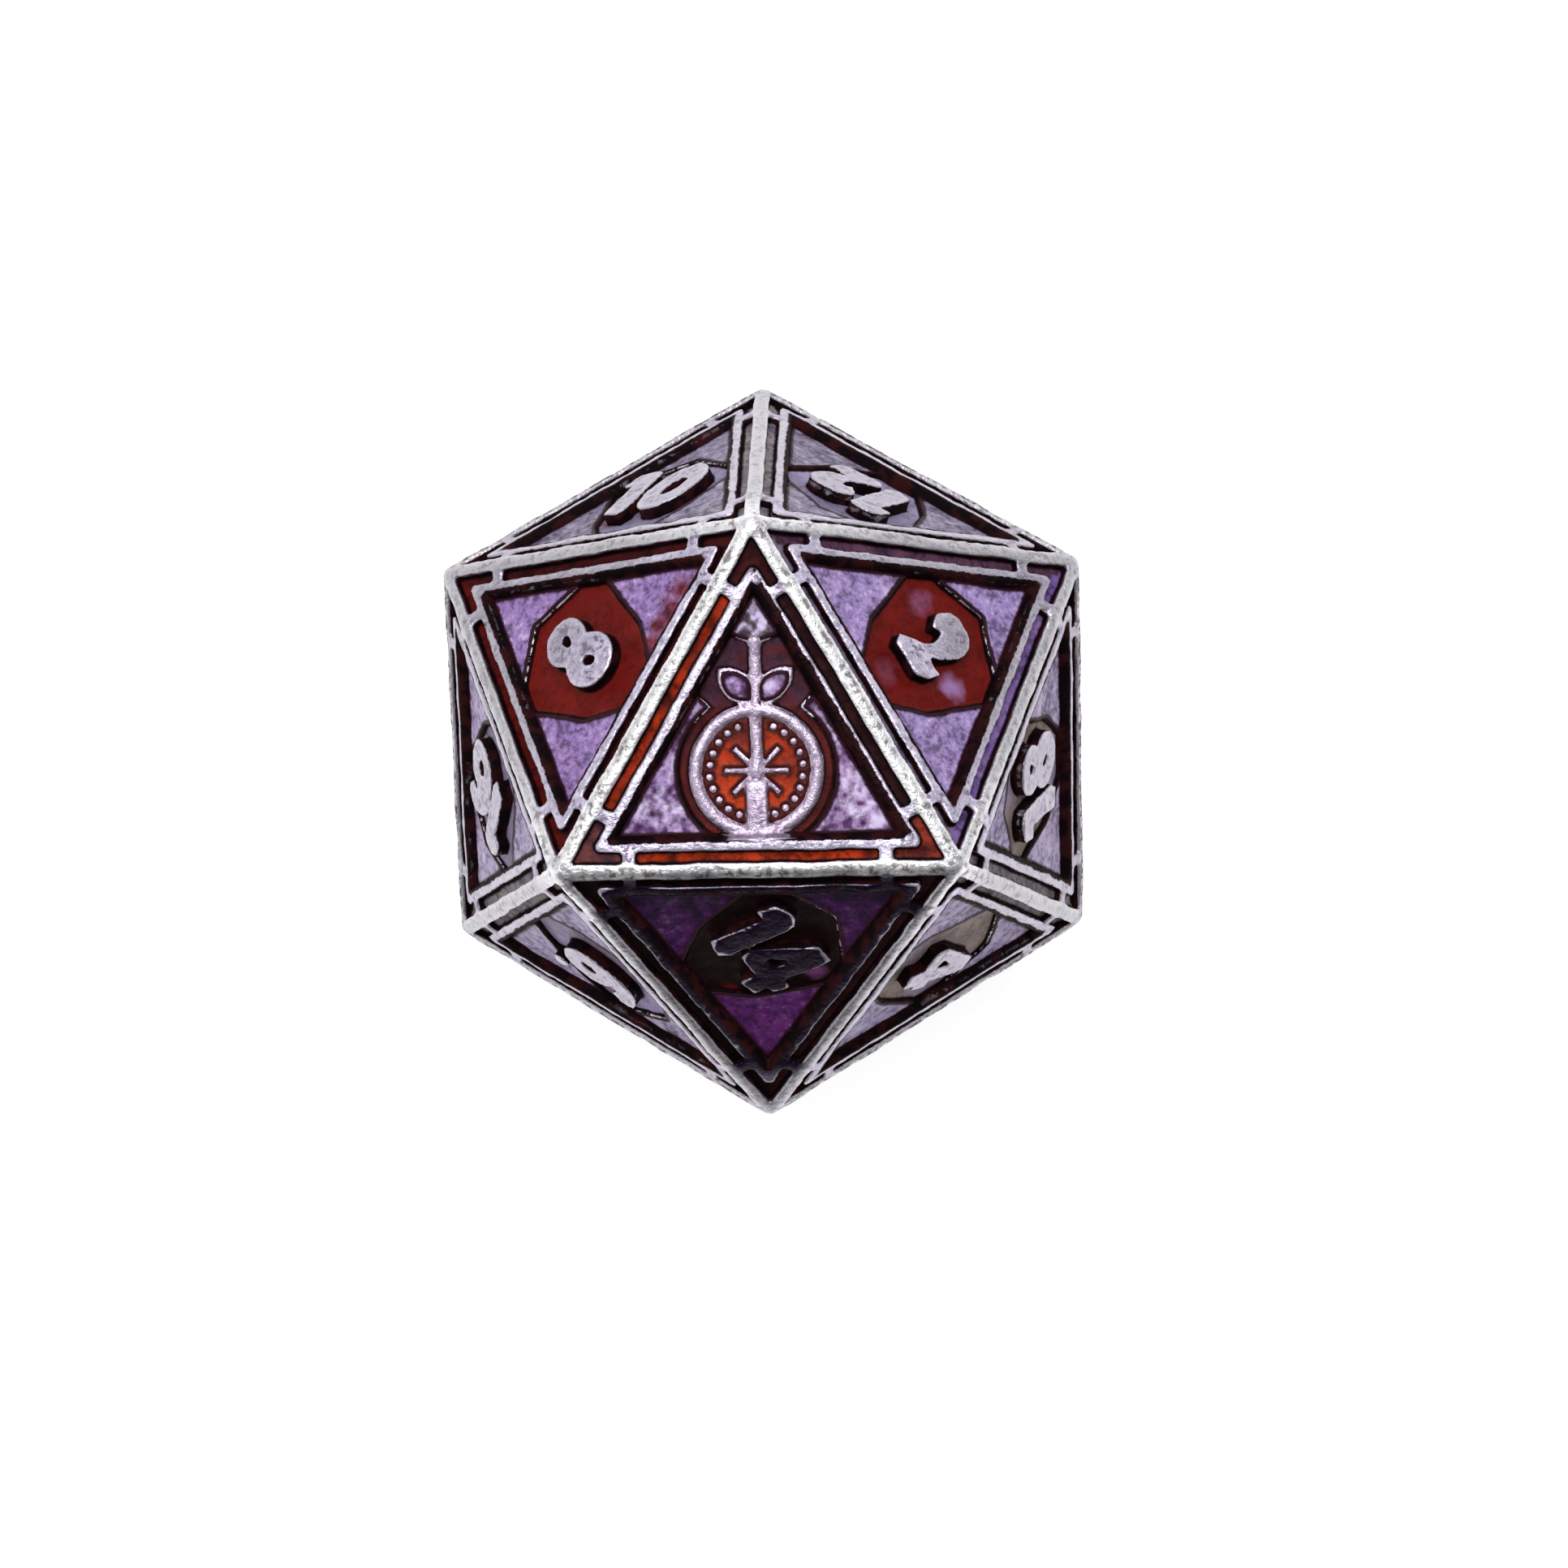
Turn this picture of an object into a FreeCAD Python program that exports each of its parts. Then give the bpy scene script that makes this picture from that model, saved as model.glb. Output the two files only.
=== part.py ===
"""Twenty-sided metal die with enamel inlays.

One zinc-alloy casting carries everything that is metal: the ridges along the icosahedron's
edges, a raised frame on each face, the tabs that tie each frame to its ridges, the numerals
and the medallion of face 20.  Enamel is inlaid in the cells that this relief leaves open.

The origin is under the middle of the face that the die rests on (face 1).  +Z points up
through face 20, and the emblem on face 20 is upright along +Y.  Sizes are in millimetres.
"""

import FreeCAD, Part
import math
import os
import Sketcher

Vector = FreeCAD.Vector
Placement = FreeCAD.Placement
Rotation = FreeCAD.Rotation

# Driving dimensions.  A drop is a depth below the face plane, an inset is measured in from
# the face's straight edge, and heights are above the middle of the face, towards the top of
# its numeral.
DIMENSIONS = {
    "across_flats": 20.0,
    "crest_radius": 0.40,
    # frame around each face
    "ridge_half_width": 0.30,
    "channel_width": 0.40,
    "frame_width": 0.37,
    "frame_drop": 0.05,
    "frame_corner_radius": 0.18,
    "wall_slope": 0.16,
    "tab_width": 0.42,
    "tab_offset": 4.17,
    # floors and enamel
    "channel_drop": 0.44,
    "lip_drop": 0.36,
    "lip_width": 0.11,
    "panel_drop": 0.50,
    "recess_drop": 0.64,
    "enamel_thickness": 0.12,
    # numerals
    "numeral_drop": 0.05,
    "numeral_height": 3.10,
    "numeral_middle": 0.22,
    "digit_gap": 0.10,
    # outline of the number recess
    "roof_height": 2.78,
    "eave_half_width": 2.02,
    "eave_height": 1.84,
    "shoulder_half_width": 2.46,
    "shoulder_height": 1.12,
    "hip_half_width": 1.74,
    "hip_depth": 1.30,
    "sill_half_width": 0.68,
    "sill_depth": 2.66,
    # medallion and staff of face 20
    "medallion_drop": 0.50,
    "medallion_enamel_thickness": 0.06,
    "ornament_drop": 0.52,
    "medallion_depth": 0.56,
    "moat_radius": 2.50,
    "ring_radius": 1.98,
    "ring_wire_radius": 0.25,
    "bead_circle_radius": 1.52,
    "bead_radius": 0.17,
    "ray_length": 1.06,
    "ray_radius": 0.14,
    "hub_radius": 0.28,
    "staff_radius": 0.23,
    "staff_height": 3.62,
    "foot_half_width": 0.33,
    "foot_drop": 0.24,
    "foot_depth": 0.90,
    # ground behind the staff, and its two leaves
    "neck_point_height": 3.50,
    "neck_top_height": 4.30,
    "neck_half_width": 2.20,
    "neck_shoulder_height": 2.30,
    "neck_foot_height": 1.35,
    "neck_foot_half_width": 1.25,
    "leaf_root_height": 1.62,
    "leaf_tip_height": 2.80,
    "leaf_tip_across": 1.20,
    "leaf_bulge": 0.46,
}

# The face plane is half the distance across flats from the die's centre, and the inradius of
# its triangle follows from the golden ratio.
FACE_PLANE = "Dims.across_flats / 2"
FACE_INRADIUS = "Dims.across_flats / (3 + sqrt(5))"
RIDGE_INSET = "Dims.ridge_half_width"
FRAME_INSET = "(Dims.ridge_half_width + Dims.channel_width)"
PANEL_INSET = "(Dims.ridge_half_width + Dims.channel_width + Dims.frame_width)"
CELL_INSET = f"({PANEL_INSET} + Dims.wall_slope)"
PANEL_FILL = "Dims.panel_drop - Dims.enamel_thickness"

CLEAR_ABOVE = "-1"    # drop to which the tools reach, clear of the face plane
OVERLAP = 0.05        # how far one tool reaches into the next, so that they fuse
BEAD_COUNT = 24
HIDDEN_BEADS = 15     # beads nearer than this to the staff, in degrees, are left out
RAY_AZIMUTHS = (0, 45, 135, 180, 225, 315)

# Digits on a cap height of 1.  An outline runs clockwise from its first point: two numbers
# are a straight line to a point, and four are an arc through one point to another.  An oval
# is its centre, half width, half height and tilt in degrees.
DIGITS = {
    "0": {"width": 0.72, "ovals": [(0.36, 0.50, 0.34, 0.50, -10)],
          "holes": [(0.36, 0.50, 0.10, 0.19, -12)]},
    "1": {"width": 0.44, "outline": [(0.02, 0.70), (0.05, 0.90), (0.16, 0.98, 0.34, 1.00),
                                     (0.42, 0.95), (0.43, 0.12), (0.36, 0.00), (0.14, 0.05),
                                     (0.16, 0.70)]},
    "2": {"width": 0.61, "outline": [(0.01, 0.72), (0.08, 0.90, 0.29, 0.96),
                                     (0.52, 0.87, 0.54, 0.62), (0.47, 0.45, 0.35, 0.33),
                                     (0.50, 0.32), (0.60, 0.35), (0.57, 0.17),
                                     (0.46, 0.06), (0.07, 0.04), (0.00, 0.15),
                                     (0.16, 0.33), (0.26, 0.50, 0.20, 0.67),
                                     (0.12, 0.59)]},
    "3": {"width": 0.66, "outline": [(0.04, 0.80), (0.07, 0.97), (0.34, 1.04, 0.56, 0.90),
                                     (0.62, 0.72, 0.50, 0.56), (0.68, 0.40, 0.55, 0.12),
                                     (0.34, -0.03, 0.08, 0.02), (0.00, 0.20), (0.12, 0.30),
                                     (0.27, 0.21, 0.35, 0.31), (0.34, 0.43, 0.18, 0.45),
                                     (0.17, 0.60), (0.31, 0.63, 0.33, 0.74),
                                     (0.26, 0.83, 0.13, 0.74)]},
    "4": {"width": 0.68, "outline": [(0.34, 1.00), (0.57, 1.00), (0.57, 0.43), (0.68, 0.42),
                                     (0.66, 0.21), (0.57, 0.20), (0.58, 0.03), (0.35, 0.00),
                                     (0.34, 0.19), (0.03, 0.20), (0.00, 0.37)],
          "counter": [(0.35, 0.41), (0.35, 0.64), (0.19, 0.41)]},
    "5": {"width": 0.64, "outline": [(0.08, 0.48), (0.11, 1.00), (0.57, 1.00), (0.62, 0.79),
                                     (0.31, 0.77), (0.30, 0.66), (0.57, 0.61, 0.63, 0.36),
                                     (0.53, 0.06, 0.22, 0.00), (0.03, 0.05), (0.00, 0.24),
                                     (0.12, 0.29), (0.35, 0.27, 0.20, 0.42)]},
    "6": {"width": 0.66, "ovals": [(0.33, 0.33, 0.33, 0.33, 0)],
          "outline": [(0.01, 0.36), (0.08, 0.82, 0.46, 1.00), (0.62, 0.88), (0.52, 0.72),
                      (0.38, 0.70, 0.36, 0.58), (0.30, 0.30)],
          "holes": [(0.34, 0.32, 0.085, 0.105, -20)]},
    "7": {"width": 0.66, "outline": [(0.00, 0.76), (0.04, 1.00), (0.60, 1.00), (0.66, 0.84),
                                     (0.44, 0.44, 0.39, 0.03), (0.14, 0.00),
                                     (0.19, 0.40, 0.37, 0.76)]},
    "8": {"width": 0.66, "ovals": [(0.35, 0.73, 0.285, 0.27, 0), (0.32, 0.31, 0.32, 0.31, 0)],
          "holes": [(0.36, 0.73, 0.050, 0.075, -20), (0.31, 0.31, 0.055, 0.085, 20)]},
}
DOT = (0.84, 0.10, 0.10, 0.10, 0)   # follows 6 and 9, so that they aren't mistaken
DOTTED = (6, 9)

# The six corners of the die's upper half: azimuth seen from above, in degrees, and whether
# the corner is on the top face or on the belt below it.  The others lie opposite.
CORNERS = {
    "a": (90, "cap"), "b": (210, "cap"), "c": (330, "cap"),
    "d": (30, "belt"), "e": (150, "belt"), "f": (270, "belt"),
}
# Faces of the upper half: the corner at the top of the numeral, then the other two.  A capital
# names the corner opposite.  Opposite faces add up to 21.
UPPER_FACES = {
    20: "abc", 8: "eba", 2: "dac", 14: "cfb", 10: "Fea", 12: "aFd",
    16: "Deb", 18: "cdE", 6: "fDb", 4: "Ecf",
}
MEDALLION_FACE = 20
OPPOSITE_SUM = 21

doc = FreeCAD.newDocument("die")


# ---------------------------------------------------------------- document helpers

def make_sheet():
    sheet = doc.addObject("Spreadsheet::Sheet", "Dims")
    for row, (alias, value) in enumerate(DIMENSIONS.items(), start=1):
        sheet.set(f"A{row}", alias)
        sheet.set(f"B{row}", str(value))
        sheet.setAlias(f"B{row}", alias)
    doc.recompute()
    return sheet


def add(kind, name, bindings=None, **properties):
    """Adds an object, sets its plain properties and binds the others to the sheet."""
    item = doc.addObject(kind, name)
    for key, value in properties.items():
        setattr(item, key, value)
    for path, expression in (bindings or {}).items():
        item.setExpression(path, expression)
    return item


def fuse(name, *shapes):
    return add("Part::MultiFuse", name, Shapes=list(shapes))


def common(name, *shapes):
    return add("Part::MultiCommon", name, Shapes=list(shapes))


def cut(name, base, tool):
    return add("Part::Cut", name, Base=base, Tool=tool)


def turned_link(name, target, rotation):
    """The same object again, turned about the die's centre."""
    return add("App::Link", name, LinkedObject=target, LinkTransform=True,
               Placement=Placement(Vector(), rotation))


# ---------------------------------------------------------------- parametric primitives
# Each is built on a face that is level above the die's centre, with its numeral up along +Y.

def upright(degrees=0):
    return Placement(Vector(), Rotation(Vector(0, 0, 1), degrees))


def lying(azimuth):
    direction = Vector(math.cos(math.radians(azimuth)), math.sin(math.radians(azimuth)), 0)
    return Placement(Vector(), Rotation(Vector(0, 0, 1), direction))


def triangle_prism(name, inset, drop_from, drop_to):
    return add("Part::Prism", name, {
        "Circumradius": f"2 * ({FACE_INRADIUS} - {inset})",
        "Height": f"({drop_from}) - ({drop_to})",
        "Placement.Base.z": f"{FACE_PLANE} - ({drop_from})",
    }, Polygon=3, Placement=upright(90))


def triangle_outline(name, inset, drop):
    return add("Part::RegularPolygon", name, {
        "Circumradius": f"2 * ({FACE_INRADIUS} - {inset})",
        "Placement.Base.z": f"{FACE_PLANE} - ({drop})",
    }, Polygon=3, Placement=upright(90))


def upright_cylinder(name, radius, drop_from, drop_to, up="0"):
    return add("Part::Cylinder", name, {
        "Radius": radius,
        "Height": f"({drop_from}) - ({drop_to})",
        "Placement.Base.y": up,
        "Placement.Base.z": f"{FACE_PLANE} - ({drop_from})",
    })


def lying_rod(name, radius, length, azimuth, up, drop):
    return add("Part::Cylinder", name, {
        "Radius": radius,
        "Height": length,
        "Placement.Base.y": up,
        "Placement.Base.z": f"{FACE_PLANE} - ({drop})",
    }, Placement=lying(azimuth))


def box(name, half_width, up_from, up_to, drop_from, drop_to):
    return add("Part::Box", name, {
        "Length": f"2 * ({half_width})",
        "Width": f"({up_to}) - ({up_from})",
        "Height": f"({drop_from}) - ({drop_to})",
        "Placement.Base.x": f"-({half_width})",
        "Placement.Base.y": up_from,
        "Placement.Base.z": f"{FACE_PLANE} - ({drop_from})",
    })


def ball(name, radius, across, up, drop):
    return add("Part::Sphere", name, {
        "Radius": radius,
        "Placement.Base.x": across,
        "Placement.Base.y": up,
        "Placement.Base.z": f"{FACE_PLANE} - ({drop})",
    })


def extruded(name, profile, drop_from, drop_to):
    """Extrudes a profile that lies in the die's middle plane, between two drops."""
    return add("Part::Extrusion", name, {
        "LengthFwd": f"({drop_from}) - ({drop_to})",
        "Placement.Base.z": f"{FACE_PLANE} - ({drop_from})",
    }, Base=profile, DirMode="Custom", Dir=Vector(0, 0, 1), Solid=True)


def grown(name, solid, margin):
    """The solid with all its faces moved out by margin, and its edges rounded."""
    return add("Part::Offset", name, {"Value": margin},
               Source=solid, Mode=0, Join=0, Fill=False)


def poured(name, space, floor, surface):
    """The enamel in a space: what lies between its floor and a level surface."""
    return common(name, space, upright_cylinder(
        f"{name}_level", "Dims.across_flats", f"{floor} + {OVERLAP}", surface))


def bound_outline(name, corners):
    """A closed sketch of straight edges whose corners are bound, across and up."""
    sketch = doc.addObject("Sketcher::SketchObject", name)
    places = [Vector(float(sketch.evalExpression(across)), float(sketch.evalExpression(up)), 0)
              for across, up in corners]
    for index, place in enumerate(places):
        following = places[(index + 1) % len(places)]
        sketch.addGeometry(Part.LineSegment(place, following), False)
    for index in range(len(places)):
        following = (index + 1) % len(places)
        sketch.addConstraint(Sketcher.Constraint("Coincident", index, 2, following, 1))
    for index, (across, up) in enumerate(corners):
        for kind, value, expression in (("DistanceX", places[index].x, across),
                                        ("DistanceY", places[index].y, up)):
            number = sketch.addConstraint(Sketcher.Constraint(kind, -1, 1, index, 1, value))
            sketch.setExpression(f"Constraints[{number}]", expression)
    return sketch


def mirrored_outline(name, corners):
    """An outline that is symmetrical about the numeral's upright axis, from its right half."""
    left = [(f"-({across})", up) for across, up in reversed(corners) if across != "0"]
    return bound_outline(name, corners + left)


# ---------------------------------------------------------------- the die's blank

def corner(letter):
    azimuth, ring = CORNERS[letter.lower()]
    golden = (1 + math.sqrt(5)) / 2
    reach = 1 if ring == "cap" else golden
    height = golden ** 2 / 2 if ring == "cap" else 1 / (2 * golden)
    angle = math.radians(azimuth)
    place = Vector(reach * math.cos(angle), reach * math.sin(angle), height)
    return place if letter.islower() else place * -1


def face_rotations():
    """For each number, the rotation that takes the level face to where that number is."""
    rotations = {}
    for number, letters in UPPER_FACES.items():
        for value, names in ((number, letters), (OPPOSITE_SUM - number, letters.swapcase())):
            places = [corner(letter) for letter in names]
            outward = (places[0] + places[1] + places[2]).normalize()
            up = places[0] - outward * places[0].dot(outward)
            rotations[value] = Rotation(up.cross(outward), up, outward, "ZYX")
    return dict(sorted(rotations.items()))


def make_blank(rotations):
    """Ten slabs, one for each pair of opposite faces, leave an icosahedron.  It is made one
    crest radius too small and then grown by that radius, which rounds its edges."""
    slab = add("Part::Cylinder", "slab", {
        "Radius": "Dims.across_flats",
        "Height": "Dims.across_flats - 2 * Dims.crest_radius",
        "Placement.Base.z": "Dims.crest_radius - Dims.across_flats / 2",
    })
    slabs = [turned_link(f"slab_{number:02d}", slab, rotations[number])
             for number in UPPER_FACES]
    core = common("core", *slabs)
    return grown("blank", core, "Dims.crest_radius")


# ---------------------------------------------------------------- openings common to all faces

def make_channels():
    """The channel between ridge and frame, which six tabs divide into three strips and three
    corner chevrons."""
    outer = triangle_prism("channel_outer", RIDGE_INSET,
                           "Dims.channel_drop", f"Dims.frame_drop - {OVERLAP}")
    core = triangle_prism("frame_core", f"({FRAME_INSET} + Dims.frame_corner_radius)",
                          "2 * Dims.channel_drop", "-2 * Dims.channel_drop")
    frame = grown("frame_outer", core, "Dims.frame_corner_radius")
    ring = cut("channel_ring", outer, frame)
    tabs = []
    for side in range(3):
        for hand in (-1, 1):
            tab = add("Part::Box", f"tab_{side}_{'left' if hand < 0 else 'right'}", {
                "Length": "Dims.tab_width",
                "Width": "2 * Dims.channel_width",
                "Height": "2 * Dims.channel_drop",
                "Placement.Base.x": f"{hand} * Dims.tab_offset - Dims.tab_width / 2",
                "Placement.Base.y": f"-({FACE_INRADIUS} - Dims.ridge_half_width / 2)",
                "Placement.Base.z": f"{FACE_PLANE} - 1.5 * Dims.channel_drop",
            })
            tabs.append(turned_link(f"{tab.Name}_in_place", tab,
                                    Rotation(Vector(0, 0, 1), 120 * side)))
    return cut("channels", ring, fuse("tabs", *tabs))


def make_opening(channels):
    """What every face loses above its lips: the step down to the frame, the channels, and the
    panel's pocket with its sloping walls."""
    step = triangle_prism("frame_step", RIDGE_INSET, "Dims.frame_drop", CLEAR_ABOVE)
    top = triangle_outline("panel_top", PANEL_INSET, f"Dims.frame_drop - {OVERLAP}")
    foot = triangle_outline("panel_foot", CELL_INSET, "Dims.lip_drop")
    pocket = add("Part::Loft", "panel_pocket", Sections=[foot, top], Solid=True, Ruled=True)
    return fuse("opening", step, channels, pocket)


def panel_prism(name, drop_from):
    return triangle_prism(name, CELL_INSET, drop_from, f"Dims.lip_drop - {OVERLAP}")


# ---------------------------------------------------------------- numbered faces

def outline_wire(points):
    """A closed wire through clockwise points, in the notation of DIGITS, facing up."""
    edges = []
    here = Vector(*points[0][-2:], 0)
    for point in list(points[1:]) + [points[0]]:
        there = Vector(*point[-2:], 0)
        if len(point) == 4:
            edges.append(Part.Arc(here, Vector(*point[:2], 0), there).toShape())
        else:
            edges.append(Part.makeLine(here, there))
        here = there
    wire = Part.Wire(edges)
    wire.reverse()
    return wire


def oval_face(across, up, half_width, half_height, tilt):
    long_side, short_side = max(half_width, half_height), min(half_width, half_height)
    face = Part.Face(Part.Wire(Part.Ellipse(Vector(), long_side, short_side).toShape()))
    upright_turn = 90 if half_height > half_width else 0
    face.rotate(Vector(), Vector(0, 0, 1), upright_turn + tilt)
    face.translate(Vector(across, up, 0))
    return face


def digit_face(digit):
    if digit == "9":
        face = digit_face("6")
        face.rotate(Vector(DIGITS["6"]["width"] / 2, 0.5, 0), Vector(0, 0, 1), 180)
        return face
    glyph = DIGITS[digit]
    solid = [oval_face(*oval) for oval in glyph.get("ovals", [])]
    if "outline" in glyph:
        solid.append(Part.Face(outline_wire(glyph["outline"])))
    face = solid[0].fuse(solid[1:]).removeSplitter() if len(solid) > 1 else solid[0]
    holes = [oval_face(*hole) for hole in glyph.get("holes", [])]
    if "counter" in glyph:
        holes.append(Part.Face(outline_wire(glyph["counter"])))
    return face.cut(holes) if holes else face


def make_numeral(number, sheet):
    """The raised numeral, from just below its recess's floor to its flat top."""
    gap = sheet.digit_gap / sheet.numeral_height
    faces = []
    width = -gap
    for digit in str(number):
        face = digit_face(digit)
        face.translate(Vector(width + gap, 0, 0))
        width += gap + DIGITS["6" if digit == "9" else digit]["width"]
        faces.append(face)
    if number in DOTTED:
        faces.append(oval_face(*DOT))
    scaled = Part.makeCompound(faces)
    scaled.translate(Vector(-width / 2, -0.5, 0))
    scaled.scale(sheet.numeral_height, Vector())
    profile = add("Part::Feature", f"numeral_{number:02d}_profile", Shape=scaled)
    numeral = extruded(f"numeral_{number:02d}", profile,
                       f"Dims.recess_drop + {OVERLAP}", "Dims.numeral_drop")
    numeral.setExpression("Placement.Base.y", "Dims.numeral_middle")
    return numeral


def make_numbered_faces(opening, sheet):
    """Number recess, panel cells and numerals.  Returns, for each number, the tool that cuts
    its face, and the solids that fill the recess and the panel cells."""
    outline = mirrored_outline("recess_outline", [
        ("0", "Dims.roof_height"),
        ("Dims.eave_half_width", "Dims.eave_height"),
        ("Dims.shoulder_half_width", "Dims.shoulder_height"),
        ("Dims.hip_half_width", "-Dims.hip_depth"),
        ("Dims.sill_half_width", "-Dims.sill_depth"),
    ])
    recess_block = extruded("recess_block", outline, "Dims.recess_drop",
                            f"Dims.lip_drop - {OVERLAP}")
    rim_block = grown("recess_rim", recess_block, "Dims.lip_width")
    recess = common("recess", recess_block, panel_prism("recess_bounds", "Dims.recess_drop"))
    cells = cut("panel_cells", panel_prism("panel_bounds", "Dims.panel_drop"), rim_block)
    pocket = fuse("numbered_pocket", opening, recess, cells)

    panel_fill = poured("panel_fill", cells, "Dims.panel_drop", PANEL_FILL)
    recess_fill = poured("recess_fill", recess, "Dims.recess_drop",
                         "Dims.recess_drop - Dims.enamel_thickness")

    tools, recess_fills = {}, {}
    for number in range(1, MEDALLION_FACE):
        numeral = make_numeral(number, sheet)
        tools[number] = cut(f"face_{number:02d}_tool", pocket, numeral)
        recess_fills[number] = cut(f"recess_fill_{number:02d}", recess_fill, numeral)
    return tools, recess_fills, panel_fill


# ---------------------------------------------------------------- the medallion face

def leaf_profile(name, hand, margin, sheet):
    """A leaf's outline, two arcs from root to tip, with a margin taken off all round."""
    root = Vector(0, sheet.leaf_root_height, 0)
    tip = Vector(hand * sheet.leaf_tip_across, sheet.leaf_tip_height, 0)
    along = (tip - root).normalize()
    root += along * 2 * margin
    tip -= along * 2 * margin
    middle = (root + tip) * 0.5
    aside = along.cross(Vector(0, 0, 1)) * (sheet.leaf_bulge - margin)
    return add("Part::Feature", name, Shape=Part.Wire([
        Part.Arc(root, middle + aside, tip).toShape(),
        Part.Arc(tip, middle - aside, root).toShape()]))


def make_leaf(hand, sheet):
    """A pointed leaf beside the staff: an island as high as the lips, with a cell in it."""
    name = "left_leaf" if hand < 0 else "right_leaf"
    outline = leaf_profile(f"{name}_outline", hand, 0, sheet)
    inside = leaf_profile(f"{name}_inside", hand, sheet.lip_width, sheet)
    island = extruded(f"{name}_island", outline,
                      f"Dims.medallion_drop + {OVERLAP}", "Dims.lip_drop")
    cell = extruded(f"{name}_cell", inside, "Dims.panel_drop", f"Dims.lip_drop - {OVERLAP}")
    return island, cell


def make_ornament():
    """The beaded ring, the star on its hub, and the staff with its foot."""
    centre = "-Dims.medallion_depth"
    axis = "Dims.ornament_drop"
    ring = add("Part::Torus", "medallion_ring", {
        "Radius1": "Dims.ring_radius",
        "Radius2": "Dims.ring_wire_radius",
        "Placement.Base.y": centre,
        "Placement.Base.z": f"{FACE_PLANE} - {axis}",
    })
    hub = ball("medallion_hub", "Dims.hub_radius", "0", centre, axis)
    staff = lying_rod("staff", "Dims.staff_radius", "Dims.staff_height + Dims.medallion_depth",
                      90, centre, axis)
    finial = ball("staff_finial", "Dims.hub_radius", "0", "Dims.staff_height", axis)
    inside_frame = f"-({FACE_INRADIUS} - {PANEL_INSET} + Dims.frame_width / 2)"
    foot = box("staff_foot", "Dims.foot_half_width", inside_frame, "-Dims.foot_depth",
               f"Dims.medallion_drop + {OVERLAP}", "Dims.foot_drop")
    pieces = [ring, hub, staff, finial, foot]
    for azimuth in RAY_AZIMUTHS:
        pieces.append(lying_rod(f"ray_{azimuth:03d}", "Dims.ray_radius", "Dims.ray_length",
                                azimuth, centre, axis))
    for index in range(BEAD_COUNT):
        azimuth = (index + 0.5) * 360 / BEAD_COUNT
        if min(abs(azimuth - 90), abs(azimuth - 270)) < HIDDEN_BEADS:
            continue
        pieces.append(ball(f"bead_{index:02d}", "Dims.bead_radius",
                           f"Dims.bead_circle_radius * cos({azimuth} deg)",
                           f"{centre} + Dims.bead_circle_radius * sin({azimuth} deg)",
                           axis))
    return fuse("medallion_ornament", *pieces)


def make_medallion_face(opening, sheet):
    """Returns the tool that cuts face 20, and the solids that fill its panel cells and leaves,
    the field inside its ring, and the ground around the ring and behind the staff."""
    centre = "-Dims.medallion_depth"
    lip_top = f"Dims.lip_drop - {OVERLAP}"
    neck_outline = mirrored_outline("neck_outline", [
        ("0", "Dims.neck_point_height"),
        ("Dims.neck_half_width", "Dims.neck_top_height"),
        ("Dims.neck_half_width", "Dims.neck_shoulder_height"),
        ("Dims.neck_foot_half_width", "Dims.neck_foot_height"),
    ])
    neck = extruded("neck", neck_outline, "Dims.medallion_drop", lip_top)
    moat = upright_cylinder("moat", "Dims.moat_radius", "Dims.medallion_drop", lip_top, centre)
    bounds = panel_prism("medallion_bounds", "Dims.medallion_drop")
    ground = common("medallion_ground", fuse("neck_and_moat", neck, moat), bounds)

    neck_rim = grown("neck_rim", neck, "Dims.lip_width")
    moat_rim = upright_cylinder("moat_rim", "Dims.moat_radius + Dims.lip_width",
                                "Dims.recess_drop", CLEAR_ABOVE, centre)
    side_cells = cut("medallion_side_cells", panel_prism("medallion_panel", "Dims.panel_drop"),
                     fuse("neck_and_moat_rims", neck_rim, moat_rim))

    ornament = make_ornament()
    islands, cells_inside = zip(*(make_leaf(hand, sheet) for hand in (-1, 1)))
    relief = fuse("medallion_relief", ornament, *islands)
    leaf_cells = cut("leaf_cells", fuse("leaf_cell_pair", *cells_inside), ornament)
    pocket = cut("medallion_pocket", fuse("bare_pocket", opening, ground, side_cells), relief)
    tool = fuse("face_20_tool", pocket, leaf_cells)

    cells = add("Part::Compound", "medallion_cells", Links=[side_cells, leaf_cells])
    panel_fill = poured("medallion_panel_fill", cells, "Dims.panel_drop", PANEL_FILL)
    layer = poured("ground_layer", ground, "Dims.medallion_drop",
                   "Dims.medallion_drop - Dims.medallion_enamel_thickness")
    ground_fill = cut("ground_fill", layer, relief)
    inside_ring = upright_cylinder("inside_ring", "Dims.ring_radius", "Dims.recess_drop",
                                   CLEAR_ABOVE, centre)
    field = common("field_fill", ground_fill, inside_ring)
    surround = cut("surround_fill", ground_fill, inside_ring)
    return tool, panel_fill, field, surround


# ---------------------------------------------------------------- assembly

def placed_node(name, pieces):
    """A sub-part, lifted so that the die stands on the plane z = 0.  Pieces are pairs of an
    object on the level face and the rotation to its own face."""
    links = [turned_link(f"{name}_piece_{index}", target, rotation)
             for index, (target, rotation) in enumerate(pieces, start=1)]
    node = add("Part::Compound", name, {"Placement.Base.z": FACE_PLANE}, Links=links)
    node.Label = name
    return node


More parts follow.
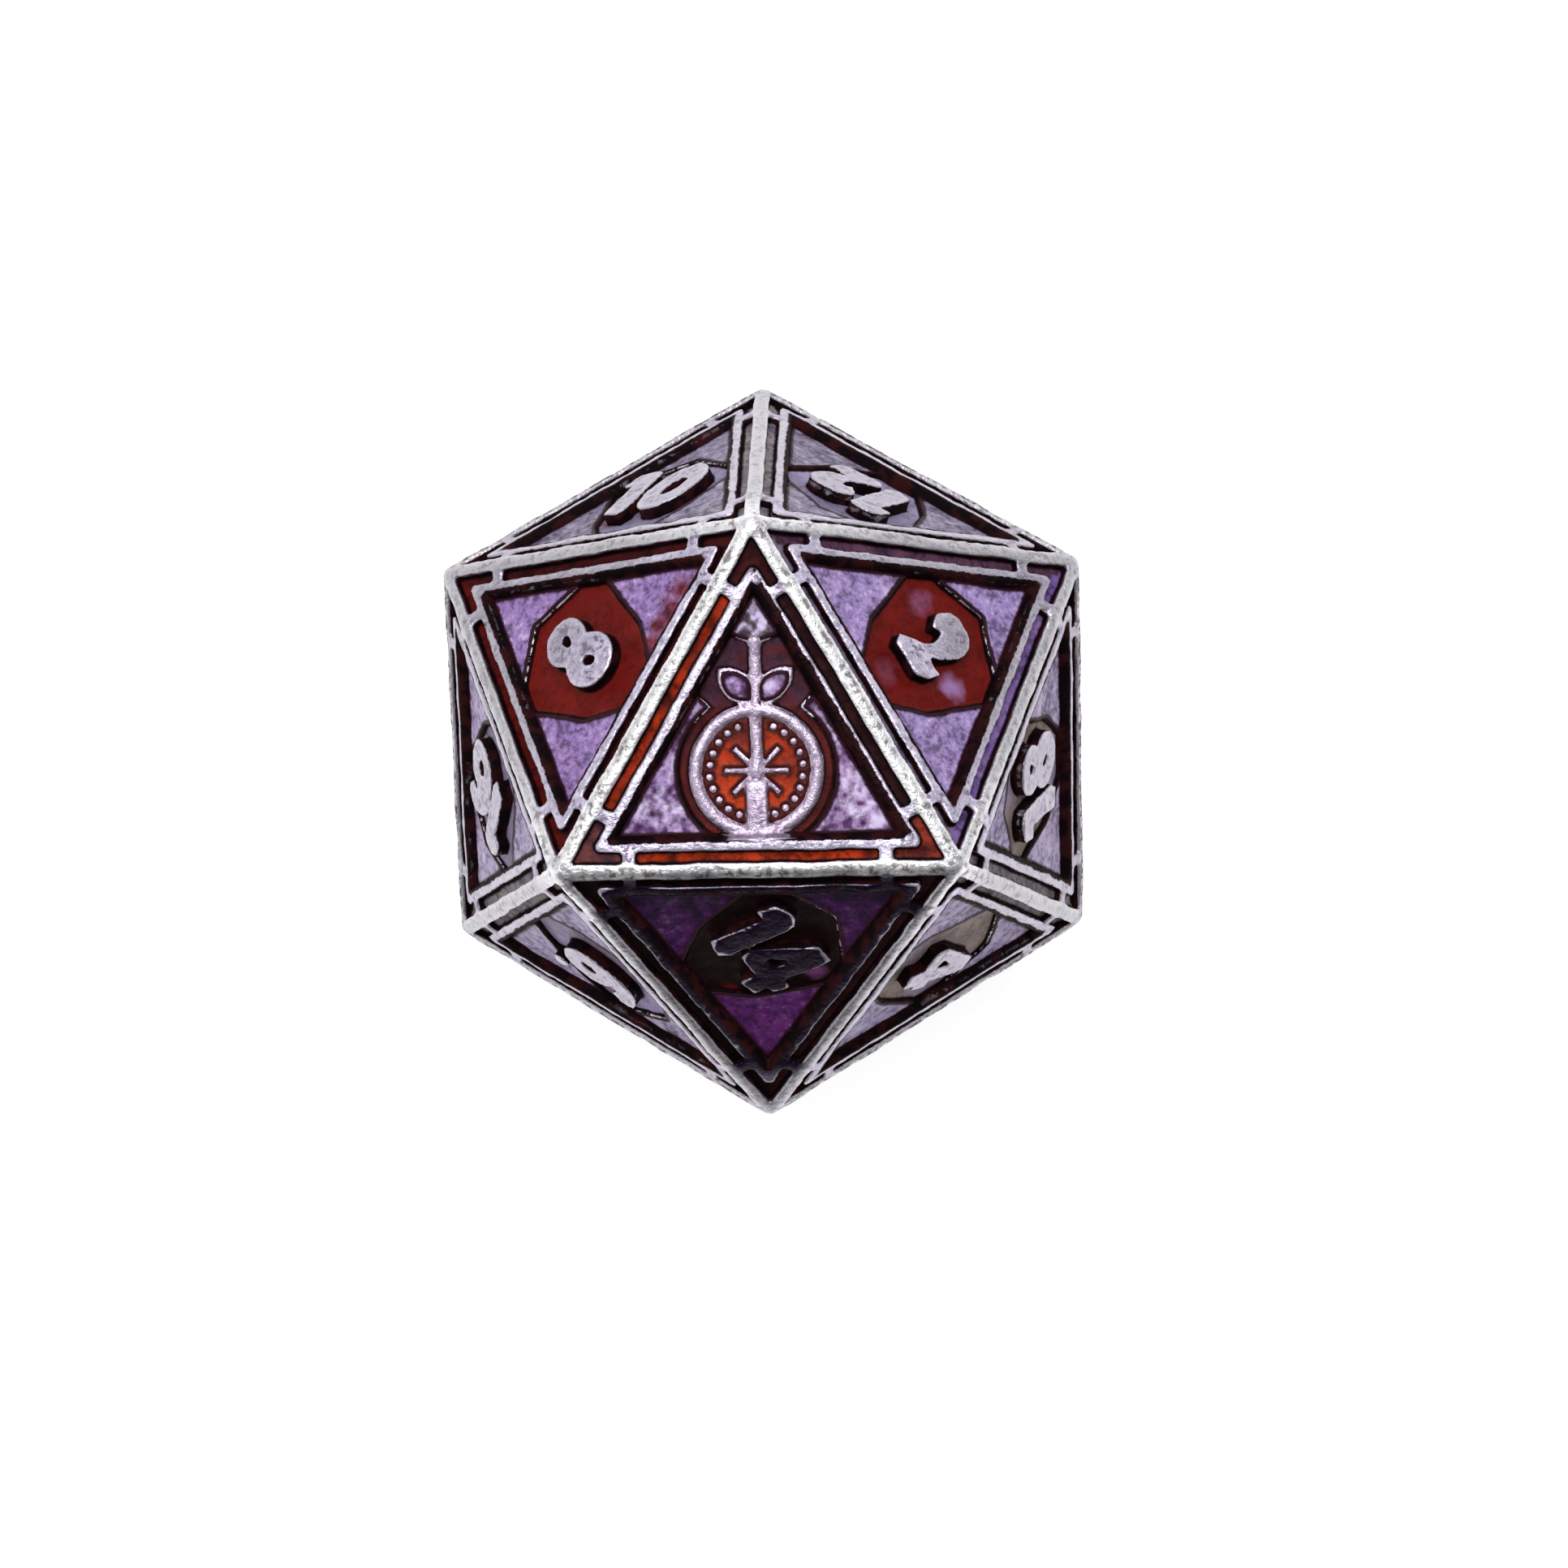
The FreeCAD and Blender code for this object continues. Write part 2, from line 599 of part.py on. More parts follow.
def make_nodes():
    sheet = make_sheet()
    rotations = face_rotations()
    blank = make_blank(rotations)
    channels = make_channels()
    opening = make_opening(channels)
    tools, recess_fills, panel_fill = make_numbered_faces(opening, sheet)
    tools[MEDALLION_FACE], medallion_panel, field, surround = make_medallion_face(opening, sheet)

    pockets = add("Part::Compound", "pockets", Links=[
        turned_link(f"pocket_{number:02d}", tool, rotations[number])
        for number, tool in tools.items()])
    casting = cut("relieved_blank", blank, pockets)

    border_fill = poured("border_fill", channels, "Dims.channel_drop",
                         "Dims.channel_drop - Dims.enamel_thickness")

    nodes = [placed_node("die_casting", [(casting, Rotation())])]
    for number, rotation in rotations.items():
        panel = medallion_panel if number == MEDALLION_FACE else panel_fill
        nodes.append(placed_node(f"panel_enamel_{number:02d}", [(panel, rotation)]))
    for number, fill in recess_fills.items():
        nodes.append(placed_node(f"recess_enamel_{number:02d}", [(fill, rotations[number])]))
    for number in range(1, MEDALLION_FACE // 2 + 1):
        opposite = OPPOSITE_SUM - number
        pair = [(border_fill, rotations[number]), (border_fill, rotations[opposite])]
        nodes.append(placed_node(f"border_enamel_{number:02d}_{opposite}", pair))
    top = rotations[MEDALLION_FACE]
    nodes.append(placed_node("medallion_field_enamel", [(field, top)]))
    nodes.append(placed_node("medallion_ground_enamel", [(surround, top)]))
    return nodes


def check(nodes):
    failed = [item.Name for item in doc.Objects
              if "Invalid" in item.State or "Error" in item.State]
    if failed:
        raise RuntimeError(f"these did not recompute: {failed}")
    for node in nodes:
        if node.Shape.isNull() or not node.Shape.isValid() or not node.Shape.Solids:
            raise RuntimeError(f"{node.Label} has no valid solid")


def main():
    nodes = make_nodes()
    doc.recompute()
    check(nodes)
    os.makedirs("parts", exist_ok=True)
    for node in nodes:
        node.Shape.exportStep(f"parts/{node.Label}.step")
        print(f"{node.Label}: {len(node.Shape.Solids)} solids, {node.Shape.Volume:.3f} mm3")


main()
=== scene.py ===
"""Looks of the twenty-sided die: one worn casting, its poured enamels, a floor, lights, a camera.

Each face of the die has a flat system of its own, in millimetres: x to the right and y to the
top of its numeral, and z out of the die.  Depths are measured in from the face's plane.
"""

import math

import bmesh
import bpy
import numpy as np
from mathutils import Matrix, Vector
from mathutils.geometry import delaunay_2d_cdt


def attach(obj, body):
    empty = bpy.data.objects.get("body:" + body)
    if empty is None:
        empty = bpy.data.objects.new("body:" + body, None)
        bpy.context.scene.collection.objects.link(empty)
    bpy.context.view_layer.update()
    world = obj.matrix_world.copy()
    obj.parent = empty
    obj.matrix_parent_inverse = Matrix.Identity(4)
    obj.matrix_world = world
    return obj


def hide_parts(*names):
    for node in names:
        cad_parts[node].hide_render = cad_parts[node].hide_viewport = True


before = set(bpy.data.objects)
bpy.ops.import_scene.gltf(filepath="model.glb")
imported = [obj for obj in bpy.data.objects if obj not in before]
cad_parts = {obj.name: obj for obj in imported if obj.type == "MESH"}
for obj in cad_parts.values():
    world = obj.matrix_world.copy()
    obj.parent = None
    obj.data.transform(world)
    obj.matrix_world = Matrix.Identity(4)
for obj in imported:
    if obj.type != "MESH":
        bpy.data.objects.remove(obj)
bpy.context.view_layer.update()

# ---------------------------------------------------------------- the die's faces

FACE_PLANE = 10.0                       # mm from the die's centre to each face's plane
CENTRE = np.array([0, 0, FACE_PLANE])   # mm, with the die standing on z = 0
MM = 0.001
GOLDEN = (1 + math.sqrt(5)) / 2
EDGE = 2 * math.sqrt(3) * FACE_PLANE / GOLDEN ** 2      # mm
# Directions from a face's middle to its sides: below the numeral, to its right and its left.
SIDES = np.array([(math.cos(math.radians(a)), math.sin(math.radians(a))) for a in (270, 30, 150)])
RIGHT = 1
LEFT = 2

# Half of the die's corners: azimuth in degrees, and whether they belong to the top face.  The
# capital letters are the opposite corners, and a face's first letter is over its numeral.
CORNERS = {"a": (90, True), "b": (210, True), "c": (330, True),
           "d": (30, False), "e": (150, False), "f": (270, False)}
UPPER_FACES = {20: "abc", 8: "eba", 2: "dac", 14: "cfb", 10: "Fea", 12: "aFd",
               16: "Deb", 18: "cdE", 6: "fDb", 4: "Ecf"}


def corner(letter):
    """A corner's place, with 1 for the distance from a face's middle to its corner."""
    azimuth, on_top = CORNERS[letter.lower()]
    reach = 1 if on_top else GOLDEN
    height = GOLDEN ** 2 / 2 if on_top else 1 / (2 * GOLDEN)
    angle = math.radians(azimuth)
    place = np.array([reach * math.cos(angle), reach * math.sin(angle), height])
    return place if letter.islower() else -place


def face_axes():
    """For each number, the rows x, y and z of its face's own system."""
    axes = {}
    for number, letters in UPPER_FACES.items():
        for value, names in ((number, letters), (21 - number, letters.swapcase())):
            places = [corner(letter) for letter in names]
            out = sum(places)
            out = out / np.linalg.norm(out)
            up = places[0] - out * (places[0] @ out)
            up = up / np.linalg.norm(up)
            axes[value] = np.array([np.cross(up, out), up, out])
    return axes


AXES = face_axes()
NUMBERS = sorted(AXES)
NORMALS = np.array([AXES[number][2] for number in NUMBERS])


# ---------------------------------------------------------------- noise and meshes

SAME_POINT = 0.0005     # mm, below which two points are one
# The lumps by which edges stray from straight: how wide they are and how far they go, in mm.
WANDER = (0.9, 0.030)
RIPPLE = (0.38, 0.016)


def value_noise(points, size, seed):
    """Smooth noise from -1 to 1, with lumps about size mm across."""
    grid = points / size
    base = np.floor(grid).astype(np.int64)
    part = grid - base
    part = part * part * (3 - 2 * part)
    total = np.zeros(len(points))
    for index in range(8):
        step = np.array([(index >> k) & 1 for k in range(3)])
        node = base + step
        mix = (node[:, 0] * 73856093) ^ (node[:, 1] * 19349663) ^ (node[:, 2] * 83492791)
        mix = (mix ^ (seed * 40503)) & 0xffffffff
        mix = ((mix ^ (mix >> 15)) * 2246822519) & 0xffffffff
        mix = ((mix ^ (mix >> 13)) * 3266489917) & 0xffffffff
        value = ((mix ^ (mix >> 16)) & 0xffff) / 32767.5 - 1
        total += value * np.prod(np.where(step, part, 1 - part), axis=1)
    return total


def hand_made(points):
    """Moves points a little, the same way for metal and enamel, so that no line is straight."""
    moved = points
    for (size, reach), seed in ((WANDER, 11), (RIPPLE, 21)):
        shift = [value_noise(points, size, seed + axis) for axis in range(3)]
        moved = moved + np.stack(shift, axis=1) * reach
    return moved


def mesh_points(mesh):
    flat = np.empty(len(mesh.vertices) * 3, np.float32)
    mesh.vertices.foreach_get("co", flat)
    return flat.reshape(-1, 3).astype(float)


def mesh_normals(mesh):
    flat = np.empty(len(mesh.vertices) * 3, np.float32)
    mesh.vertex_normals.foreach_get("vector", flat)
    return flat.reshape(-1, 3).astype(float)


def set_values(mesh, name, values):
    layer = mesh.attributes.new(name, "FLOAT", "POINT")
    layer.data.foreach_set("value", np.asarray(values, np.float32))


def set_colours(mesh, name, colours):
    layer = mesh.attributes.new(name, "FLOAT_COLOR", "POINT")
    full = np.ones((len(colours), 4), np.float32)
    full[:, :3] = colours
    layer.data.foreach_set("color", full.ravel())


def smooth_steps(points, edges, steps, keep=0.5):
    """Moves every point towards the average of its neighbours, several times."""
    count = len(points)
    ends = np.concatenate([edges[:, 0], edges[:, 1]])
    others = np.concatenate([edges[:, 1], edges[:, 0]])
    degree = np.maximum(np.bincount(ends, minlength=count), 1)[:, None]
    for _ in range(steps):
        near = np.stack([np.bincount(ends, weights=points[others, k], minlength=count)
                         for k in range(3)], axis=1) / degree
        points = keep * points + (1 - keep) * near
    return points


# ---------------------------------------------------------------- the casting

VOXEL = 0.062           # mm
CASTING_TRIANGLES = 188000
SOFTENING = 3           # times that each point moves half-way to its neighbours' average
WIDE_SOFTENING = 12     # times that it moves most of the way, to show where the metal is hollow
# Bumps of the cast skin: how wide they are and how high, in mm.
FINE_BUMPS = (0.20, 0.007)
BROAD_BUMPS = (0.55, 0.010)

# The emblem of face 20, in mm: its ring's middle lies below the face's, and each part's reach
# takes in its whole width.
RING_DEPTH = 0.56
RING_REACH = 2.30
STAFF_REACH = 0.34
STAFF_TOP = 4.0
LEAF_REACH = 1.22
LEAF_FOOT = 1.6
LEAF_TOP = 2.95
EMBLEM_FLOOR = 9.0

FAR_CORNER = 7.6        # mm from a face's middle, just short of its corner
FACE_14_SHADE_FADE = 2.4      # mm over which the painted shade on face 14 thins towards its far corner
ROOF_HEIGHT = 1.0       # mm above the face's middle where the roof of a number recess begins
LIP_DROP = 0.28         # mm below the face's plane, and the lips lie deeper


def depth_and_crest(points):
    """How deep each point lies below its own face's plane, and below the next face's."""
    reach = np.sort(points @ NORMALS.T, axis=1)
    return FACE_PLANE - reach[:, -1], FACE_PLANE - reach[:, -2]


def nearest_face(points):
    """For each point, the place in NUMBERS of the face that it belongs to."""
    return np.argmax(points @ NORMALS.T, axis=1)


def in_medallion(points):
    """1 on the emblem of face 20, which is rubbed bright although it lies low."""
    flat = points @ AXES[20].T
    across, up = np.abs(flat[:, 0]), flat[:, 1]
    ring = np.hypot(across, up + RING_DEPTH) < RING_REACH
    staff = (across < STAFF_REACH) & (up > 0) & (up < STAFF_TOP)
    leaves = (across < LEAF_REACH) & (up > LEAF_FOOT) & (up < LEAF_TOP)
    return (flat[:, 2] > EMBLEM_FLOOR) * (ring | staff | leaves) * 1.0


def shade_on_face_14(points):
    """How much shade is painted on the metal of face 14, up to 1, as that face looks away from
    the light: less so on the ridges round it and at the corner farthest from face 20."""
    reach = points @ NORMALS.T
    crest = FACE_PLANE - np.sort(reach, axis=1)[:, -2]
    far = -(points @ AXES[14].T)[:, :2] @ SIDES[LEFT]
    thinning = np.clip((FAR_CORNER - far) / FACE_14_SHADE_FADE, 0.35, 1)
    on_face = np.argmax(reach, axis=1) == NUMBERS.index(14)
    return on_face * np.clip(0.25 + crest * 3.5, 0, 1) * thinning


def right_of_20(points):
    """1 on the right-hand side of face 20, where the inner half of the frame is painted
    black as painted shade.
    """
    side = np.argmax((points @ AXES[20].T)[:, :2] @ SIDES.T, axis=1)
    return (nearest_face(points) == NUMBERS.index(20)) * (side == RIGHT) * 1.0


def on_waist(points):
    """1 on the ridges round the die's middle, between an upper and a lower face."""
    nearest = np.argsort(points @ NORMALS.T, axis=1)[:, -2:]
    return (np.prod(NORMALS[nearest, 2], axis=1) < 0) * 1.0


def on_roof_lip(points):
    """1 near the lips round the top of each number recess, where bare metal is painted in
    spots as painted highlights.
    """
    on_lip = np.zeros(len(points))
    nearest = nearest_face(points)
    for index, number in enumerate(NUMBERS):
        flat = points @ AXES[number].T
        low = flat[:, 2] < FACE_PLANE - LIP_DROP
        on_lip += (nearest == index) * (flat[:, 1] > ROOF_HEIGHT) * low
    return on_lip


def edge_ends(mesh):
    ends = np.empty(len(mesh.edges) * 2, np.int32)
    mesh.edges.foreach_get("vertices", ends)
    return ends.reshape(-1, 2)


def move_points(mesh, points):
    mesh.vertices.foreach_set("co", points.astype(np.float32).ravel())


def baked(body):
    """The object's mesh with its modifiers applied, which are then removed."""
    graph = bpy.context.evaluated_depsgraph_get()
    graph.update()
    mesh = bpy.data.meshes.new_from_object(body.evaluated_get(graph),
                                           preserve_all_data_layers=True, depsgraph=graph)
    body.modifiers.clear()
    return mesh


def casting_copy():
    """The CAD casting in mm from the die's centre, without its doubled points."""
    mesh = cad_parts["die_casting"].data.copy()
    mesh.name = "cast_body"
    mesh.materials.clear()
    move_points(mesh, mesh_points(mesh) / MM - CENTRE)
    work = bmesh.new()
    work.from_mesh(mesh)
    bmesh.ops.remove_doubles(work, verts=work.verts, dist=SAME_POINT)
    work.to_mesh(mesh)
    work.free()
    body = bpy.data.objects.new("cast_body", mesh)
    bpy.context.scene.collection.objects.link(body)
    return body


def cast_skin(mesh):
    """Softens and dents the mesh, and stores how hollow it is at each point."""
    edges = edge_ends(mesh)
    points = smooth_steps(mesh_points(mesh), edges, SOFTENING)
    wide = smooth_steps(points, edges, WIDE_SOFTENING, keep=0.1)
    move_points(mesh, points)
    mesh.update()
    normals = mesh_normals(mesh)
    set_values(mesh, "hollow", np.einsum("ij,ij->i", wide - points, normals))
    bumps = 0
    for (size, height), seed in ((FINE_BUMPS, 31), (BROAD_BUMPS, 32)):
        bumps = bumps + value_noise(points, size, seed) * height
    move_points(mesh, hand_made(points) + normals * bumps[:, None])
    mesh.update()


def store_measures(mesh):
    """Stores what the casting's material is steered by."""
    points = mesh_points(mesh)
    depth, crest = depth_and_crest(points)
    set_values(mesh, "depth", depth)
    set_values(mesh, "crest", crest)
    set_values(mesh, "ornament", in_medallion(points))
    # painted shade on the metal of face 14
    set_values(mesh, "face_14_shade", shade_on_face_14(points))
    # painted shade on the inner half of face 20's frame, on its right
    set_values(mesh, "shade_right_of_20", right_of_20(points))
    set_values(mesh, "waist", on_waist(points))
    # where painted highlights go on the lips round the top of each number recess
    set_values(mesh, "lip", on_roof_lip(points))
    # 1 at the die's top and bottom, which are rubbed, and 0 at its middle
    set_values(mesh, "rubbed", np.abs(points[:, 2]) / np.linalg.norm(points, axis=1))


def make_casting():
    body = casting_copy()
    remesh = body.modifiers.new("remesh", "REMESH")
    remesh.mode = "VOXEL"
    remesh.voxel_size = VOXEL
    body.data = baked(body)
    cast_skin(body.data)
    body.data.calc_loop_triangles()
    thin = body.modifiers.new("decimate", "DECIMATE")
    thin.ratio = CASTING_TRIANGLES / len(body.data.loop_triangles)
    body.data = baked(body)
    store_measures(body.data)
    move_points(body.data, (mesh_points(body.data) + CENTRE) * MM)
    body.data.polygons.foreach_set("use_smooth", [True] * len(body.data.polygons))
    body.data.update()
    return body


# ---------------------------------------------------------------- enamel

LAVENDER = (0.26, 0.165, 0.41)
PINK_LAVENDER = (0.34, 0.225, 0.47)
LIGHT_LAVENDER = (0.285, 0.205, 0.46)
PALE = (0.36, 0.30, 0.50)
FROST = (0.66, 0.55, 0.82)
HAZY = (0.19, 0.165, 0.26)
GREY = (0.16, 0.13, 0.15)
WARM_GREY = (0.26, 0.22, 0.23)
TAUPE = (0.21, 0.16, 0.14)
BRIGHT_PURPLE = (0.25, 0.15, 0.38)
GREY_PURPLE = (0.21, 0.17, 0.24)
PURPLE_BROWN = (0.115, 0.050, 0.085)
DULL_PURPLE = (0.055, 0.020, 0.040)
BRUISE = (0.10, 0.035, 0.13)
# painted shade colours for face 14's panel
SHADE_PLUM = (0.085, 0.011, 0.115)
SHADE_DEEP_VIOLET = (0.020, 0.004, 0.034)
MAUVE = (0.30, 0.16, 0.34)
MAGENTA = (0.22, 0.060, 0.20)
ROSE = (0.22, 0.060, 0.12)
DUSTY_ROSE = (0.15, 0.045, 0.045)
WINE = (0.16, 0.030, 0.050)
SMEAR_RED = (0.17, 0.03, 0.05)
ORANGE = (0.46, 0.036, 0.006)
BURNT_ORANGE = (0.30, 0.04, 0.02)
EMBER = (0.16, 0.012, 0.006)
BRICK = (0.12, 0.016, 0.014)
RED_BROWN = (0.110, 0.0055, 0.0040)
DARK_RED = (0.055, 0.006, 0.007)
OXBLOOD = (0.030, 0.005, 0.006)
# painted shade colour, for face 14 and the lowest strip of each belt face
SHADE_BLACK_BROWN = (0.007, 0.002, 0.002)

BELT_FACES = (10, 12, 16, 18, 6, 4)     # the upper of the two rows of faces round the middle
# Face 14's plum panel, black-brown recess and dark strips are painted shade, as that face looks
# away from the light.
PANEL_PAINT = {20: PINK_LAVENDER, 14: SHADE_PLUM, 8: LAVENDER, 2: LIGHT_LAVENDER, 10: HAZY, 12: HAZY,
               16: PALE, 18: PALE, 6: PALE, 4: PALE}
RECESS_PAINT = {14: SHADE_BLACK_BROWN, 10: HAZY, 12: HAZY, 16: GREY_PURPLE, 18: TAUPE,
                6: GREY_PURPLE, 4: TAUPE}
# For the strips below the numeral, to its right and to its left.
BORDER_PAINT = {20: (ORANGE, OXBLOOD, ORANGE), 8: (DARK_RED, DARK_RED, RED_BROWN),
                2: (GREY_PURPLE, BRIGHT_PURPLE, PURPLE_BROWN),
                # face 14's dark strips are painted shade
                14: (SHADE_BLACK_BROWN, OXBLOOD, SHADE_BLACK_BROWN),
                **dict.fromkeys(BELT_FACES, (WARM_GREY, WARM_GREY, WARM_GREY))}
PLAIN_BORDER = (DARK_RED, RED_BROWN, PURPLE_BROWN)

# Smears of other colours: the face, the fill, the place and reach in mm, and the colour.
SMEARS = [
    (2, "recess", (-1.50, 0.90), 0.60, ROSE),
    (2, "recess", (1.45, 0.25), 0.62, MAUVE),
    (2, "recess", (-0.10, -1.85), 0.55, WINE),
    (8, "panel", (1.30, -2.15), 0.62, SMEAR_RED),
    (8, "panel", (2.00, -2.20), 0.75, SMEAR_RED),
    (8, "panel", (2.80, -2.20), 0.75, SMEAR_RED),
    (8, "panel", (3.60, -2.20), 0.65, SMEAR_RED),
    (14, "recess", (1.20, -2.00), 0.40, RED_BROWN),
    (14, "recess", (1.85, 0.90), 0.45, MAGENTA),
    (10, "recess", (-1.30, -0.80), 0.75, RED_BROWN),
]
GREY_TIP = 3.4          # mm up face 20, above which its panel is grey
CORNER_REACH = 5.35     # mm from a face's middle to where its corner chevrons begin
STAFF_FOOT = 1.3        # mm up face 20, above which the ground is behind the staff

ENAMEL_DEPTH = 0.12     # mm
RING_STEP = 0.10        # mm between points along a fill's edge
EDGE_GAP = 0.045        # mm kept free of points inside the edge
COARSE = 0.13           # mm between points inside a fill
MEDIUM = 0.10
FINE = 0.065            # where the paint is richest
FINELY_PAINTED = ("_20", "_02", "_08", "_14")       # the upper faces, as nodes' names end
SPREAD = 0.04           # mm that each fill reaches into the metal round it, so no gap shows
MENISCUS_HEIGHT = 0.045     # mm
MENISCUS_WIDTH = 0.10
TOP_TOLERANCE = 0.004       # mm within which a point belongs to a fill's flat top
# How uneven a fill's top is: the width and height of its lumps, in mm.
SMALL_LUMPS = (0.30, 0.006)
LARGE_LUMPS = (0.9, 0.008)


def components(mesh):
    """The closed solids in a mesh: for each, its points in mm from the die's centre, and its
    triangles."""
    mesh.calc_loop_triangles()
    points = mesh_points(mesh) / MM - CENTRE
    keys = np.round(points / SAME_POINT).astype(np.int64)
    _, first, merged = np.unique(keys, axis=0, return_index=True, return_inverse=True)
    merged = merged.ravel()
    points = points[first]
    corners = np.empty(len(mesh.loop_triangles) * 3, np.int32)
    mesh.loop_triangles.foreach_get("vertices", corners)
    triangles = merged[corners.reshape(-1, 3)]
    parent = list(range(len(points)))

    def root(item):
        while parent[item] != item:
            parent[item] = parent[parent[item]]
            item = parent[item]
        return item

    for one, two, three in triangles:
        for other in (two, three):
            low, high = sorted((root(one), root(other)))
            parent[high] = low
    roots = np.array([root(item) for item in range(len(points))])
    for value in np.unique(roots):
        yield points, triangles[roots[triangles[:, 0]] == value]


def boundary_loops(points, triangles):
    """The directed outlines of a flat patch, with the patch on the left of each."""
    following = {}
    edges = {(a, b) for tri in triangles for a, b in zip(tri, np.roll(tri, -1))}
    for a, b in edges:
        if (b, a) not in edges:
            following[a] = b
    loops = []
    while following:
        start = min(following)
        loop = [start]
        here = following.pop(start)
        while here != start:
            loop.append(here)
            here = following.pop(here)
        loops.append(points[loop])
    return loops


def resampled(loop, spacing):
    out = []
    for here, there in zip(loop, np.roll(loop, -1, axis=0)):
        pieces = max(1, int(round(np.linalg.norm(there - here) / spacing)))
        out.extend(here + (there - here) * k / pieces for k in range(pieces))
    return np.array(out)


def segment_distance(places, starts, ends):
    """Distance from each place to the nearest of the segments."""
    best = np.full(len(places), np.inf)
    along = ends - starts
    size = np.maximum((along ** 2).sum(axis=1), 1e-12)
    for begin in range(0, len(places), 400):
        block = places[begin:begin + 400]
        away = block[:, None] - starts[None]
        share = np.clip((away * along).sum(axis=2) / size, 0, 1)
        gap = away - along * share[..., None]
        best[begin:begin + 400] = np.sqrt((gap ** 2).sum(axis=2).min(axis=1))
    return best


def inside(places, starts, ends):
    """Whether each place is inside the outlines, by counting crossings to its right."""
    x, y = places[:, 0][:, None], places[:, 1][:, None]
    spans = (starts[:, 1] > y) != (ends[:, 1] > y)
    rise = ends[:, 1] - starts[:, 1]
    rise = np.where(rise == 0, 1e-12, rise)
    cross = starts[:, 0] + (y - starts[:, 1]) * (ends[:, 0] - starts[:, 0]) / rise
    return (spans & (cross > x)).sum(axis=1) % 2 == 1


def fill_patch(loops, spacing):
    """Triangles over a patch, dense enough to be shaped: points across and up, each point's
    distance from the edge, triangles, and the outer edges."""
    rings = [resampled(loop, RING_STEP) for loop in loops]
    starts = np.concatenate(rings)
    ends = np.concatenate([np.roll(ring, -1, axis=0) for ring in rings])
    edges, base = [], 0
    spread = []
    for ring in rings:
        count = len(ring)
        edges += [(base + k, base + (k + 1) % count) for k in range(count)]
        base += count
        along = np.roll(ring, -1, axis=0) - np.roll(ring, 1, axis=0)
        along /= np.maximum(np.linalg.norm(along, axis=1), 1e-9)[:, None]
        spread.append(ring + np.stack([along[:, 1], -along[:, 0]], axis=1) * SPREAD)
    low, high = starts.min(axis=0), starts.max(axis=0)
    across = np.arange(low[0], high[0], spacing)
    up = np.arange(low[1], high[1], spacing * 0.866)
    grid = np.array([(x + (row % 2) * spacing / 2, y) for row, y in enumerate(up)
                     for x in across])
    grid += np.random.default_rng(5).uniform(-0.2, 0.2, grid.shape) * spacing
    grid = grid[inside(grid, starts, ends)]
    distance = segment_distance(grid, starts, ends)
    grid, distance = grid[distance > EDGE_GAP], distance[distance > EDGE_GAP]
    places = np.concatenate([starts, grid])
    found = delaunay_2d_cdt([Vector(p) for p in places], edges, [], 0, 1e-6)
    triangles = np.array(found[2])
    placed = np.array([tuple(p) for p in found[0]])
    if len(placed) != len(places):
        raise RuntimeError("the patch's outline crosses itself")
    middles = placed[triangles].mean(axis=1)
    triangles = triangles[inside(middles, starts, ends)]
    one, two, three = (placed[triangles[:, k]] for k in range(3))
    turn = ((two[:, 0] - one[:, 0]) * (three[:, 1] - one[:, 1])
            - (two[:, 1] - one[:, 1]) * (three[:, 0] - one[:, 0]))
    triangles[turn < 0] = triangles[turn < 0][:, ::-1]
    places[:len(starts)] = np.concatenate(spread)
    return places, np.concatenate([np.zeros(len(starts)), distance]), triangles, edges


def mixed(one, two, share):
    share = np.clip(share, 0, 1)[:, None]
    return np.asarray(one) * (1 - share) + np.asarray(two) * share


def panel_paint(number, flat, points, patch, fleck):
    base = PANEL_PAINT.get(number, LAVENDER)
    colour = mixed(base, np.array(base) * (1.35, 1.30, 1.15), 0.5 + 0.5 * patch)
    if number == 20:
        colour = mixed(colour, GREY, (flat[:, 1] > GREY_TIP) * 1.0)
        shade = 0.55 * fleck + 0.45 * value_noise(points, 0.15, 44) + 0.25 * patch
        colour = mixed(colour, FROST, (shade - 0.05) * 2.8)
        colour = mixed(colour, BRUISE, (-shade - 0.08) * 3.2)
    elif number == 14:
        # face 14's panel is darkened further with painted shade, most towards face 20
        near_20 = flat[:, :2] @ SIDES[LEFT]
        colour = mixed(colour, SHADE_DEEP_VIOLET, 0.45 + 0.2 * near_20 + 0.3 * fleck)
    return colour


def recess_paint(number, points, patch):
    base = RECESS_PAINT.get(number, RED_BROWN)
    colour = mixed(base, np.array(base) * 1.4, 0.5 + 0.5 * patch)
    if number in BELT_FACES:
        colour = mixed(colour, PALE, 0.1 + 0.9 * value_noise(points, 1.3, 41))
    return colour


def border_paint(number, flat, patch, fleck):
    strips = np.array(BORDER_PAINT.get(number, PLAIN_BORDER))
    if number in BELT_FACES:
        # the strip on the side that faces lowest is painted black-brown as painted shade
        lowest = np.argmin(SIDES @ AXES[number][:2, 2])
        strips[lowest] = SHADE_BLACK_BROWN
    colour = strips[np.argmax(flat[:, :2] @ SIDES.T, axis=1)]
    colour = mixed(colour, colour * (0.50, 0.45, 0.70), 0.35 + 0.7 * patch)
    if number == 20:
        # the chevron at the top is dark, the left one dusty and the right one orange
        corner_colour = np.where(flat[:, 1:2] > GREY_TIP, DARK_RED,
                                 np.where(flat[:, 0:1] < 0, DUSTY_ROSE, BURNT_ORANGE))
        in_corner = np.linalg.norm(flat[:, :2], axis=1) > CORNER_REACH
        colour = np.where(in_corner[:, None], corner_colour, colour)
        colour = mixed(colour, colour * (0.28, 0.30, 0.60), 0.25 + 1.1 * fleck + 0.5 * patch)
    return colour


